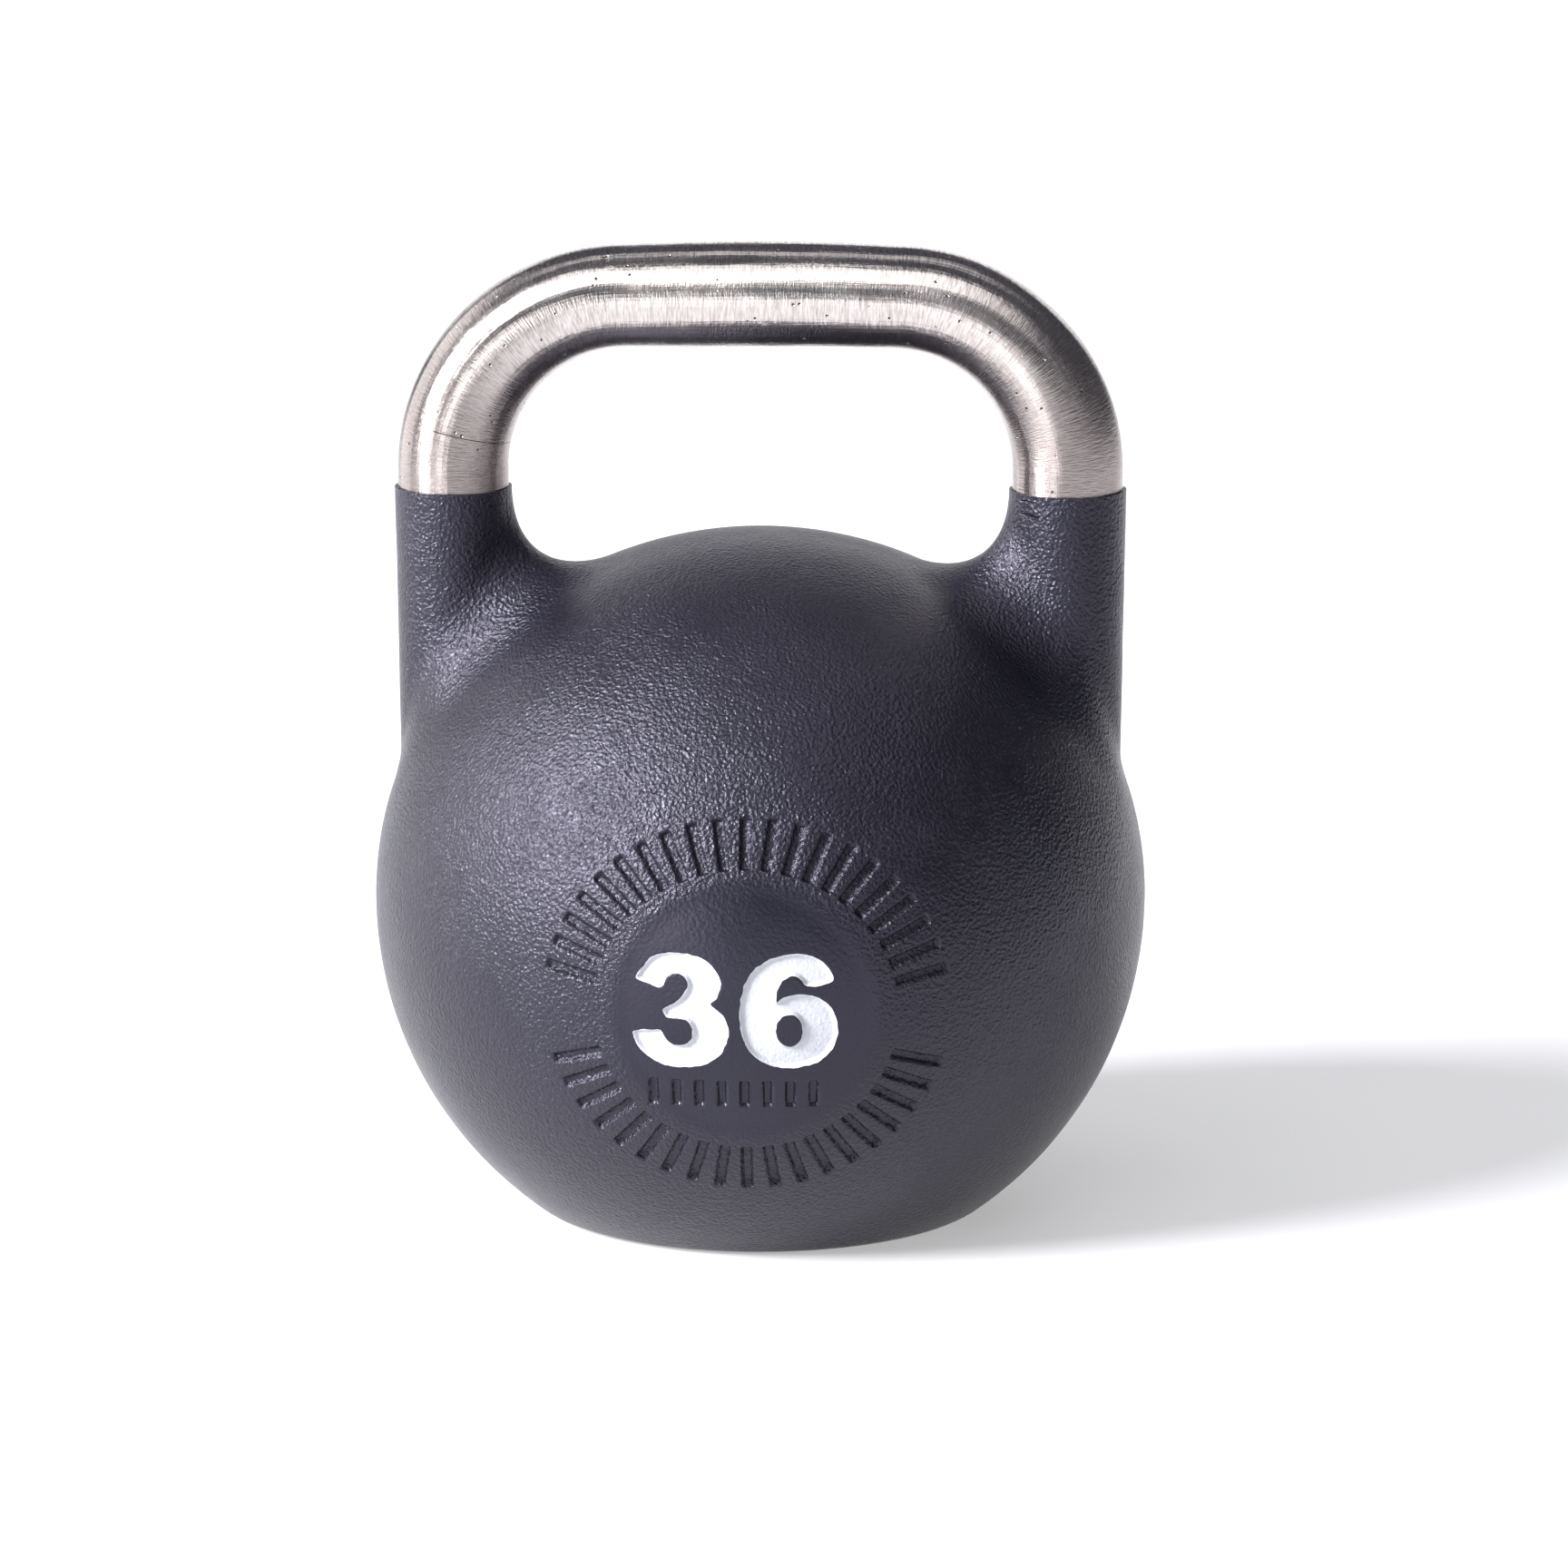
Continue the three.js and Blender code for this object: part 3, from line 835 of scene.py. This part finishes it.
@dataclass
class BallCasting:
    """The painted casting: ball and horns, with its marks, sockets and filler hole."""

    marks: FaceMarks
    radius: float = 105 * MM
    centre_z: float = 86 * MM
    crown: float = 99.8 * MM
    foot_round: float = 1.8 * MM
    horn_x: float = 83.05 * MM
    horn_radius: float = 15.85 * MM
    horn_lean: float = 0.0125
    joint_z: float = 198 * MM
    window_fillet: float = 30 * MM
    face_fillet: float = 15 * MM
    outer_fillet: float = 1.4 * MM
    voxel: float = 2.4 * MM
    patch_radius: float = 55 * MM
    post_ends: tuple[float, float] = (100 * MM, 206 * MM)
    post_inset: float = 0.5 * MM
    plain_foot: float = 4 * MM
    horn_start: float = 150 * MM
    horn_blend: float = 25 * MM
    ball_wave_mm: float = 0.07
    horn_wave_mm: float = 0.09
    ball_lump_mm: float = 0.015
    horn_lump_mm: float = 0.05
    socket_radius: float = 10.8 * MM
    socket_floor: float = 172 * MM
    seat_radius: float = 15.2 * MM
    trim_radius: float = 24 * MM
    trim_top: float = 212 * MM
    seam_swell: float = 0.28 * MM
    seam_nibble: float = 0.14 * MM
    mouth_radius: float = 27.1 * MM
    recess_radius: float = 26.3 * MM
    mouth_bevel: float = 0.8 * MM
    recess_top: float = 8.8 * MM
    filler_radius: float = 21.25 * MM
    filler_top: float = 40 * MM
    chips: tuple[Place, ...] = (
        (72.0 * MM, -11.8 * MM, 196.2 * MM),
        (72.4 * MM, -12.0 * MM, 192.7 * MM),
        (73.6 * MM, -12.4 * MM, 192.2 * MM),
    )

    def outside(self, points: np.ndarray) -> np.ndarray:
        """Measures how far points lie outside the casting, with its fillets.

        Args:
            points: A row for each point.

        Returns:
            Signed distance, close to the surface.
        """
        x, y, z = np.abs(points[:, 0]), points[:, 1], points[:, 2]
        rise = z - self.centre_z
        stretch = np.where(rise > 0, self.radius / self.crown, 1.0)
        ball = np.sqrt(x * x + y * y + (rise * stretch) ** 2) - self.radius
        dx = x - self.horn_x + self.horn_lean * (self.joint_z - z)
        out = np.maximum(np.hypot(dx, y), 1e-9)
        horn = out - self.horn_radius
        inward = -dx / out
        side = np.where(inward > 0, self.window_fillet, self.outer_fillet)
        fillet = self.face_fillet + (side - self.face_fillet) * inward * inward
        dip = np.hypot(np.maximum(fillet - ball, 0), np.maximum(fillet - horn, 0))
        joined = np.maximum(fillet, np.minimum(ball, horn)) - dip
        joined = np.where(z < self.centre_z, ball, joined)
        foot = self.foot_round
        over = np.hypot(np.maximum(joined + foot, 0), np.maximum(foot - z, 0))
        return np.minimum(-foot, np.maximum(joined, -z)) + over

    def settle(self, points: np.ndarray, rounds: int) -> np.ndarray:
        """Moves points onto the casting's surface.

        Args:
            points: A row for each point, near the surface.
            rounds: Number of steps.

        Returns:
            The points on the surface.
        """
        step = 1e-5
        for _ in range(rounds):
            here = self.outside(points)
            slope = np.stack(
                [
                    (self.outside(points + step * axis) - self.outside(points - step * axis))
                    / (2 * step)
                    for axis in np.eye(3)
                ],
                1,
            )
            size = np.maximum((slope**2).sum(1), 0.2)
            points = points - slope * (here / size)[:, None]
        return points

    def rough(self) -> bpy.types.Object:
        """Joins a ball and two posts into one even mesh.

        Returns:
            An object close to the casting's shape.
        """
        bm = bmesh.new()
        bmesh.ops.create_uvsphere(bm, u_segments=96, v_segments=48, radius=self.radius)
        bmesh.ops.translate(bm, verts=bm.verts, vec=(0, 0, self.centre_z))
        below = bmesh.ops.bisect_plane(
            bm,
            geom=[*bm.verts, *bm.edges, *bm.faces],
            plane_co=(0, 0, 0),
            plane_no=(0, 0, -1),
            clear_outer=True,
        )
        rim = [g for g in below["geom_cut"] if isinstance(g, bmesh.types.BMEdge)]
        bmesh.ops.contextual_create(bm, geom=rim)
        low, high = self.post_ends
        post_x = self.horn_x - self.post_inset
        for side in (-1, 1):
            bmesh.ops.create_cone(
                bm,
                cap_ends=True,
                segments=48,
                radius1=self.horn_radius,
                radius2=self.horn_radius,
                depth=high - low,
                matrix=Matrix.Translation((side * post_x, 0, (low + high) / 2)),
            )
        made = object_from("painted_casting", bm)
        even = made.modifiers.new("even", "REMESH")
        even.mode = "VOXEL"
        even.voxel_size = self.voxel
        bake_modifiers(made)
        return made

    def relax(self, mesh: bpy.types.Mesh, points: np.ndarray, rounds: int) -> np.ndarray:
        """Evens out the spacing of points on the surface, without changing its shape.

        Args:
            mesh: The mesh whose edges join the points.
            points: A row for each point.
            rounds: Number of passes.

        Returns:
            The evened points.
        """
        ends = np.empty(len(mesh.edges) * 2, int)
        mesh.edges.foreach_get("vertices", ends)
        first, second = ends.reshape(-1, 2).T
        count = np.bincount(ends, minlength=len(points))[:, None]
        for _ in range(rounds):
            total = np.zeros_like(points)
            np.add.at(total, first, points[second])
            np.add.at(total, second, points[first])
            points = self.settle(0.5 * points + 0.5 * total / count, 2)
        return points

    def refine_front(self, mesh: bpy.types.Mesh) -> None:
        """Makes the mesh fine where the marks are pressed in."""
        bm = bmesh.new()
        bm.from_mesh(mesh)
        centre = Vector((self.marks.ring_centre[0], 0, self.marks.ring_centre[1]))
        faces = []
        for face in bm.faces:
            middle = face.calc_center_median()
            away = Vector((middle.x - centre.x, 0, middle.z - centre.z)).length
            if middle.y < 0 and away < self.patch_radius:
                faces.append(face)
        edges = list({edge for face in faces for edge in face.edges})
        bmesh.ops.subdivide_edges(bm, edges=edges, cuts=4, use_grid_fill=True)
        bm.to_mesh(mesh)
        bm.free()

    def hand_made(self, points: np.ndarray) -> np.ndarray:
        """Adds the slight unevenness of a sand casting, strongest on the horns."""
        moved = points.copy()
        for i, (x, y, z) in enumerate(points):
            if z < self.plain_foot:
                continue
            wave = noise.noise(Vector((x, y, z)) * per_metre(17))
            lump = noise.noise(Vector((x, y, z)) * per_metre(7) + Vector((5, 5, 5)))
            high = min(max((z - self.horn_start) / self.horn_blend, 0.0), 1.0)
            push = (self.ball_wave_mm + self.horn_wave_mm * high) * MM * wave
            push += (self.ball_lump_mm + self.horn_lump_mm * high) * MM * lump
            away = (x, y, z - self.centre_z)
            if high > 0:
                away = (x - math.copysign(self.horn_x, x) * high, y, 0)
            moved[i] += np.array(Vector(away).normalized()) * push
        reach = np.array([self.radius, self.radius, np.inf])
        return np.clip(moved, -reach, reach)

    def press(self, points: np.ndarray) -> np.ndarray:
        """Presses the face marks into the front of the ball.

        Args:
            points: A row for each point on the ball.

        Returns:
            The points, moved in along the ball's radius.
        """
        x, z = points[:, 0], points[:, 2]
        centre = self.marks.ring_centre
        near = (points[:, 1] < 0) & (np.hypot(x - centre[0], z - centre[1]) < self.patch_radius)
        depth = np.zeros(len(points))
        marks = self.marks
        numerals = marks.numeral_pressing(x[near], z[near])
        extra = marks.film_room * np.clip(numerals / marks.numeral_depth, 0, 1)
        depth[near] = marks.disc(x[near], z[near]) + numerals + extra + marks.bars(x[near], z[near])
        return points - self.outward(points) * depth[:, None]

    def outward(self, points: np.ndarray) -> np.ndarray:
        """Gives the ball's outward direction at each point."""
        away = points - np.array([0, 0, self.centre_z])
        return away / np.linalg.norm(away, axis=1)[:, None]

    def cutters(self) -> bpy.types.Object:
        """Makes the solids that trim the horns and bore their sockets and the filler hole.

        Returns:
            One object of three closed solids.
        """
        bm = bmesh.new()
        for side in (-1, 1):
            part = bmesh.new()
            profile = [
                (0.0, self.socket_floor),
                (self.socket_radius, self.socket_floor),
                (self.socket_radius, self.joint_z),
                (self.seat_radius, self.joint_z),
                (self.trim_radius, self.joint_z),
                (self.trim_radius, self.trim_top),
                (0.0, self.trim_top),
            ]
            turned(part, profile, side * self.horn_x)
            for vert in part.verts:
                if abs(vert.co.z - self.joint_z) < 1e-6:
                    turn = math.atan2(vert.co.y, vert.co.x - side * self.horn_x)
                    around = Vector((math.cos(turn), math.sin(turn), side * 3.0))
                    vert.co.z += self.seam_swell * noise.noise(around * 1.3)
                    vert.co.z += self.seam_nibble * noise.noise(around * 6.0)
            spare = bpy.data.meshes.new("spare")
            part.to_mesh(spare)
            part.free()
            bm.from_mesh(spare)
            bpy.data.meshes.remove(spare)
        filler = [
            (0.0, -2 * MM),
            (self.mouth_radius, -2 * MM),
            (self.mouth_radius, 0.0),
            (self.recess_radius, self.mouth_bevel),
            (self.recess_radius, self.recess_top),
            (self.filler_radius, self.recess_top),
            (self.filler_radius, self.filler_top),
            (0.0, self.filler_top),
        ]
        turned(bm, filler)
        return object_from("cutters", bm)

    def build(self, finish: Finish) -> bpy.types.Object:
        """Makes the casting and paints it.

        Args:
            finish: The paint.

        Returns:
            The finished piece.
        """
        piece = self.rough()
        mesh = piece.data
        points = self.relax(mesh, self.settle(points_of(mesh), 6), 4)
        place_points(mesh, points)
        self.refine_front(mesh)
        points = self.settle(points_of(mesh), 3)
        place_points(mesh, self.press(self.hand_made(points)))
        combine(piece, self.cutters(), Cut.OUTSIDE_TOOL)
        piece.data.shade_smooth()
        piece.data.set_sharp_from_angle(angle=SHARP)
        dress(piece, finish.material())
        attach(piece, BODY)
        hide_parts("ball_casting", "weld_bead_left", "weld_bead_right")
        return piece


@dataclass
class NumeralFilm:
    """The enamel brushed into one numeral: a thin film on the floor and walls."""

    casting: BallCasting
    numeral: Numeral
    thickness: float = 0.35 * MM
    proud: float = 0.1 * MM
    pitch: float = 0.4 * MM
    margin: float = 1.5 * MM
    fine_edge: float = 0.22 * MM
    broad_edge: float = 0.16 * MM
    punch_near: float = -90 * MM
    punch_length: float = 25 * MM

    def sheet(self) -> bpy.types.Object:
        """Makes a thin curved sheet that follows the recess, wider than the numeral."""
        outline = self.casting.marks.outlines(self.numeral)[0]
        low, high = outline.min(0) - self.margin, outline.max(0) + self.margin
        size = high - low
        bm = bmesh.new()
        bmesh.ops.create_grid(
            bm,
            x_segments=round(size[0] / self.pitch),
            y_segments=round(size[1] / self.pitch),
            size=0.5,
        )
        flat = np.array([vert.co[:2] for vert in bm.verts])
        x, z = (low + (flat + 0.5) * size).T
        ball = self.casting
        y = -np.sqrt(ball.radius**2 - x**2 - (z - ball.centre_z) ** 2)
        points = np.stack([x, y, z], 1)
        marks = ball.marks
        depth = marks.disc(x, z) + marks.numeral_pressing(x, z) - self.proud
        points -= ball.outward(points) * depth[:, None]
        for vert, point in zip(bm.verts, points):
            vert.co = point
        bmesh.ops.recalc_face_normals(bm, faces=bm.faces)
        bmesh.ops.solidify(bm, geom=bm.faces, thickness=self.thickness)
        return object_from(f"{self.numeral.name}_film", bm)

    def punch(self) -> bpy.types.Object:
        """Makes a straight bar of the numeral's outline, through the front of the ball."""
        bm = bmesh.new()
        edges = []
        for loop in self.casting.marks.outlines(self.numeral):
            kept = [p for i, p in enumerate(loop) if np.hypot(*(p - loop[i - 1])) > 1e-5]
            wobble = [
                self.fine_edge * noise.noise(Vector((x, 0, z)) * per_metre(1.6))
                + self.broad_edge * noise.noise(Vector((x, 0, z)) * per_metre(5.0))
                for x, z in kept
            ]
            ring = [
                bm.verts.new((x + shift, self.punch_near, z - shift))
                for (x, z), shift in zip(kept, wobble)
            ]
            edges += [bm.edges.new((ring[i - 1], ring[i])) for i in range(len(ring))]
        bmesh.ops.triangle_fill(bm, use_beauty=True, edges=edges)
        moved = bmesh.ops.extrude_face_region(bm, geom=bm.faces)["geom"]
        verts = [g for g in moved if isinstance(g, bmesh.types.BMVert)]
        bmesh.ops.translate(bm, verts=verts, vec=(0, -self.punch_length, 0))
        return object_from("punch", bm)

    def build(self, finish: Finish) -> bpy.types.Object:
        """Makes the film and paints it.

        Args:
            finish: The enamel.

        Returns:
            The finished piece.
        """
        piece = self.sheet()
        combine(piece, self.punch(), Cut.INSIDE_TOOL)
        piece.data.shade_smooth()
        piece.data.set_sharp_from_angle(angle=SHARP)
        dress(piece, finish.material())
        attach(piece, BODY)
        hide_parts(f"{self.numeral.name}_enamel")
        return piece


@dataclass
class HandleBar:
    """The bent bar: it is thinnest where the grip meets the bends, and ground by hand."""

    leg_x: float = 83.05 * MM
    shoulder_z: float = 198.3 * MM
    bend_radius: float = 47 * MM
    grip_z: float = 250.5 * MM
    leg_radius: float = 15.1 * MM
    neck_radius: float = 14.1 * MM
    grip_radius: float = 14.45 * MM
    arch: float = 0.6 * MM
    spigot_radius: float = 10.5 * MM
    spigot_end: float = 172.3 * MM
    sides: int = 64
    leg_steps: int = 3
    bend_steps: int = 36
    half_grip_steps: int = 16
    ground_off: float = 0.1 * MM
    wave_mm: float = 0.14
    ripple_mm: float = 0.045
    stations: list[tuple[Vector, float, float, float]] = field(default_factory=list)

    def lay_out(self) -> None:
        """Lists the bar's stations: centre, heading, radius and run from the left shoulder."""
        half_grip = self.leg_x - self.bend_radius
        bend_z = self.grip_z - self.bend_radius
        steps: list[tuple[float, float, float]] = []
        for k in range(self.leg_steps):
            rise = (bend_z - self.shoulder_z) * k / self.leg_steps
            steps.append((self.leg_x, self.shoulder_z + rise, 0.0))
        for k in range(self.bend_steps + 1):
            turn = math.pi / 2 * k / self.bend_steps
            x = half_grip + self.bend_radius * math.cos(turn)
            steps.append((x, bend_z + self.bend_radius * math.sin(turn), turn))
        for k in range(1, self.half_grip_steps + 1):
            steps.append((half_grip * (1 - k / self.half_grip_steps), self.grip_z, math.pi / 2))
        other = [(-x, z, math.pi - turn) for x, z, turn in steps[-2::-1]]
        run = 0.0
        for x, z, turn in [*steps, *other]:
            share = min(1.0, abs(x) / half_grip)
            centre = Vector((x, 0, z - self.arch * share * share))
            if self.stations:
                run += (centre - self.stations[-1][0]).length
            self.stations.append((centre, turn, self.radius_at(x, z), run))

    def radius_at(self, x: float, z: float) -> float:
        """Gives the bar's radius at a station."""
        half_grip = self.leg_x - self.bend_radius
        if abs(x) <= half_grip:
            share = abs(x) / half_grip
            return self.grip_radius + (self.neck_radius - self.grip_radius) * share * share
        drop = (self.grip_z - z) / self.bend_radius
        share = min(1.0, max(0.0, drop))
        return self.neck_radius + (self.leg_radius - self.neck_radius) * share**0.6

    def ring(self, centre: Vector, turn: float, radius: float, rough: bool) -> list[Vector]:
        """Gives the points round one station.

        Args:
            centre: The station's centre.
            turn: The bar's heading: 0 is up, and a quarter turn is towards -X.
            radius: The bar's radius there.
            rough: Whether the ring is ground by hand or turned true.

        Returns:
            The points, starting on the outer side of the bend.
        """
        outward = Vector((math.cos(turn), 0, math.sin(turn)))
        points = []
        for k in range(self.sides):
            angle = 2 * math.pi * (k + 0.5) / self.sides - math.pi / 2
            way = outward * math.sin(angle) + Vector((0, 1, 0)) * math.cos(angle)
            at = centre + way * radius
            if rough:
                wave = noise.noise(at * per_metre(26)) * self.wave_mm * MM
                bumpy = noise.noise(at * per_metre(9) + Vector((3, 1, 7)))
                ripple = bumpy * self.ripple_mm * MM
                at = at + way * (wave + ripple - self.ground_off)
            points.append(at)
        return points

    def extruded(
        self, bm: bmesh.types.BMesh, loop: list[bmesh.types.BMVert]
    ) -> list[bmesh.types.BMVert]:
        """Extrudes the bar's open end by one ring.

        Args:
            bm: The bar's mesh.
            loop: The vertices round the open end, in order.

        Returns:
            The new ring's vertices, in the same order.
        """
        order = {vert: k for k, vert in enumerate(loop)}
        edges = list({e for v in loop for e in v.link_edges if e.other_vert(v) in order})
        made = bmesh.ops.extrude_edge_only(bm, edges=edges)["geom"]
        fresh = [g for g in made if isinstance(g, bmesh.types.BMVert)]

        def place(vert: bmesh.types.BMVert) -> int:
            """Gives the place of the old vertex that a new one came from."""
            ends = (edge.other_vert(vert) for edge in vert.link_edges)
            return next(order[end] for end in ends if end in order)

        return sorted(fresh, key=place)

    def build(self, finish: Finish) -> bpy.types.Object:
        """Makes the bar with its spigots and grinds it.

        Args:
            finish: The ground steel.

        Returns:
            The finished piece.
        """
        self.lay_out()
        first, last = self.stations[0], self.stations[-1]
        down = Vector((0, 0, self.spigot_end - self.shoulder_z))
        rows = [
            (first[0] + down, 0.0, self.spigot_radius, False, 0.0),
            (first[0], 0.0, self.spigot_radius, False, 0.0),
        ]
        rows += [(centre, turn, radius, True, run) for centre, turn, radius, run in self.stations]
        rows += [
            (last[0], math.pi, self.spigot_radius, False, last[3]),
            (last[0] + down, math.pi, self.spigot_radius, False, last[3]),
        ]
        bm = bmesh.new()
        loop = bmesh.ops.create_circle(bm, segments=self.sides, radius=self.spigot_radius)["verts"]
        runs = {}
        for index, (centre, turn, radius, rough, run) in enumerate(rows):
            if index:
                loop = self.extruded(bm, loop)
            for vert, point in zip(loop, self.ring(centre, turn, radius, rough)):
                vert.co = point
            for k, vert in enumerate(loop):
                runs[vert] = (run, k)
        bmesh.ops.holes_fill(bm, edges=[e for e in bm.edges if e.is_boundary], sides=0)
        layer = bm.loops.layers.uv.new("bar_run")
        girth = 2 * math.pi * self.leg_radius
        for face in bm.faces:
            places = [runs[vert][1] for vert in face.verts]
            wraps = max(places) - min(places) > self.sides / 2
            for corner in face.loops:
                run, k = runs[corner.vert]
                k += self.sides if wraps and k < self.sides / 2 else 0
                corner[layer].uv = (run, girth * k / self.sides)
        piece = object_from("ground_handle", bm)
        piece.data.set_sharp_from_angle(angle=SHARP)
        dress(piece, finish.material())
        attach(piece, BODY)
        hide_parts("handle_bar")
        return piece


@dataclass
class ScrewPlug:
    """The collared plug that closes the filler hole, with a hexagon socket."""

    low: float = 1.2 * MM
    collar_radius: float = 26 * MM
    collar_top: float = 6.2 * MM
    thread_radius: float = 20.95 * MM
    thread_pitch: float = 2 * MM
    top: float = 22.2 * MM
    across_flats: float = 22 * MM
    socket_depth: float = 9 * MM
    thread_depth: float = 0.9 * MM
    thread_start: float = 0.6 * MM
    lead_in: float = 0.8 * MM
    edge_bevel: float = 0.35 * MM

    def build(self, finish: Finish) -> bpy.types.Object:
        """Makes the plug and finishes it.

        Args:
            finish: The plug's surface.

        Returns:
            The finished piece.
        """
        profile = [(0.0, self.low), (self.collar_radius, self.low)]
        profile += [(self.collar_radius, self.collar_top), (self.thread_radius, self.collar_top)]
        crest = self.thread_radius
        root = crest - self.thread_depth
        height = self.collar_top + self.thread_start
        while height + self.thread_pitch < self.top:
            profile += [(crest, height), (root, height + self.thread_pitch / 2)]
            height += self.thread_pitch
        profile += [(crest, height), (crest - self.lead_in, self.top), (0.0, self.top)]
        bm = bmesh.new()
        turned(bm, profile)
        piece = object_from("screw_plug", bm)
        key = bmesh.new()
        bmesh.ops.create_cone(
            key,
            cap_ends=True,
            segments=6,
            radius1=self.across_flats / math.sqrt(3),
            radius2=self.across_flats / math.sqrt(3),
            depth=2 * self.socket_depth,
            matrix=Matrix.Translation((0, 0, self.low)),
        )
        combine(piece, object_from("key", key), Cut.OUTSIDE_TOOL)
        rounded = piece.modifiers.new("edges", "BEVEL")
        rounded.width = self.edge_bevel
        rounded.segments = 2
        rounded.limit_method = "ANGLE"
        rounded.angle_limit = SHARP
        bake_modifiers(piece)
        piece.data.set_sharp_from_angle(angle=math.radians(40))
        dress(piece, finish.material())
        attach(piece, BODY)
        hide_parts("base_plug")
        return piece


# ---------------------------------------------------------------- studio


@dataclass(frozen=True)
class Softbox:
    """A soft light that faces the ball, in degrees from the front and above the horizon."""

    name: str
    azimuth: float
    elevation: float
    size: tuple[float, float]
    watts: float
    away: float = 1.3


@dataclass
class Studio:
    """A pale floor, soft lights and the camera."""

    ball_centre: Vector = field(default_factory=lambda: Vector((0, 0, 86 * MM)))
    floor_size: float = 60.0
    floor_drop: float = 0.2 * MM
    camera_turn: float = math.radians(2.0)
    camera_away: float = 2.0
    camera_height: float = 0.54
    aim_right: float = 6.45 * MM
    aim_up: float = 29.3 * MM
    lens: float = 172.2
    softboxes: tuple[Softbox, ...] = (
        Softbox("front_panel", 4, 60, (1.5, 0.75), 6.6),
        Softbox("overhead", 180, 74, (1.3, 0.2), 0.8),
        Softbox("back_panel", 180, 20, (1.6, 0.5), 3.0),
        Softbox("left_panel", 116, 18, (0.9, 1.1), 5.4),
        Softbox("low_panel", 26, 6, (0.4, 0.6), 3.4),
    )

    def hang(
        self, light: bpy.types.Light, azimuth: float, elevation: float, away: float
    ) -> None:
        """Puts a light in place, facing the ball.

        Args:
            light: The light's data.
            azimuth: Degrees round the ball, from the front towards -X.
            elevation: Degrees above the horizon.
            away: Distance from the ball.
        """
        a, e = math.radians(azimuth), math.radians(elevation)
        way = Vector((-math.sin(a) * math.cos(e), -math.cos(a) * math.cos(e), math.sin(e)))
        lamp = bpy.data.objects.new(light.name, light)
        lamp.location = self.ball_centre + way * away
        lamp.rotation_mode = "QUATERNION"
        lamp.rotation_quaternion = (-way).to_track_quat("-Z", "Y")
        bpy.context.scene.collection.objects.link(lamp)

    def lights(self) -> None:
        """Hangs the key, which is far off and lights the floor evenly, and the soft boxes."""
        key = bpy.data.lights.new("key", "SUN")
        key.angle = math.radians(24)
        key.energy = 10.8
        self.hang(key, 62, 28, 1.0)
        for box in self.softboxes:
            data = bpy.data.lights.new(box.name, "AREA")
            data.shape = "RECTANGLE"
            data.size, data.size_y = box.size
            data.energy = box.watts
            self.hang(data, box.azimuth, box.elevation, box.away)

    def room(self) -> None:
        """Makes the floor, which glows a little, and the pale surroundings."""
        bm = bmesh.new()
        bmesh.ops.create_grid(bm, x_segments=1, y_segments=1, size=self.floor_size / 2)
        bmesh.ops.translate(bm, verts=bm.verts, vec=(0, 0, -self.floor_drop))
        floor = object_from("floor", bm)
        # Opal acrylic sheet, lit a little from below: plain and nearly white.
        board = Mottled("opal_acrylic", "bebec2", "bababe", 0.7, 0.0, 60.0, 0.0, glow=0.42)
        dress(floor, board.material())
        world = bpy.data.worlds.new("room")
        world.use_nodes = True
        back = world.node_tree.nodes["Background"]
        back.inputs["Color"].default_value = linear("d0d2e4")
        back.inputs["Strength"].default_value = 0.16
        bpy.context.scene.world = world
        bpy.context.scene.view_settings.view_transform = "Standard"

    def camera(self) -> None:
        """Places the camera in front, above the handle and a little to the right."""
        data = bpy.data.cameras.new("camera")
        data.lens = self.lens
        data.sensor_width = 36.0
        data.clip_start, data.clip_end = 0.05, 50.0
        camera = bpy.data.objects.new("camera", data)
        across = Vector((math.sin(self.camera_turn), -math.cos(self.camera_turn), 0))
        camera.location = across * self.camera_away + Vector((0, 0, self.camera_height))
        ahead = (self.ball_centre - camera.location).normalized()
        right = ahead.cross(Vector((0, 0, 1))).normalized()
        up = right.cross(ahead)
        aim = self.ball_centre + right * self.aim_right + up * self.aim_up
        camera.rotation_mode = "QUATERNION"
        camera.rotation_quaternion = (aim - camera.location).to_track_quat("-Z", "Y")
        bpy.context.scene.collection.objects.link(camera)
        bpy.context.scene.camera = camera

    def build(self) -> None:
        """Sets up the whole studio."""
        self.room()
        self.lights()
        self.camera()


def report(piece: bpy.types.Object) -> None:
    """Logs a finished piece and its number of faces."""
    LOG.info("%s: %d faces", piece.name, len(piece.data.polygons))


def main() -> None:
    """Builds every piece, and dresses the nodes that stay."""
    logging.basicConfig(level=logging.INFO, format="%(message)s")
    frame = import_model()
    marks = FaceMarks()
    casting = BallCasting(marks)
    paint = PowderCoat(
        "satin_powder_coat",
        disc_centre=marks.ring_centre,
        disc_radius=marks.disc_radius,
        chips=casting.chips,
    )
    report(casting.build(paint))
    for numeral in marks.numerals:
        report(NumeralFilm(casting, numeral).build(BrushedEnamel(f"brushed_enamel_{numeral.name}")))
    report(HandleBar().build(GroundSteel("ground_bar_steel", nick_at=214 * MM)))
    # Phosphated steel, turned: dark grey with a dull sheen.
    report(ScrewPlug().build(Mottled("phosphated_steel", "2c2c30", "3d3c40", 0.42, 0.7, 1.4, 0.03)))
    # Grout poured over steel shot is rough and stony. Moulded nitrile rubber is a flat black.
    kept = {
        "ballast_core": Mottled("shot_filled_grout", "6d6862", "4f4a45", 0.85, 0.0, 2.5, 0.4),
        "plug_seal": Mottled("nitrile_rubber", "1b1a1a", "252424", 0.7, 0.0, 0.8, 0.03),
    }
    for name, finish in kept.items():
        dress(frame["nodes"][name], finish.material())
    Studio().build()


if __name__ == "__main__":
    main()
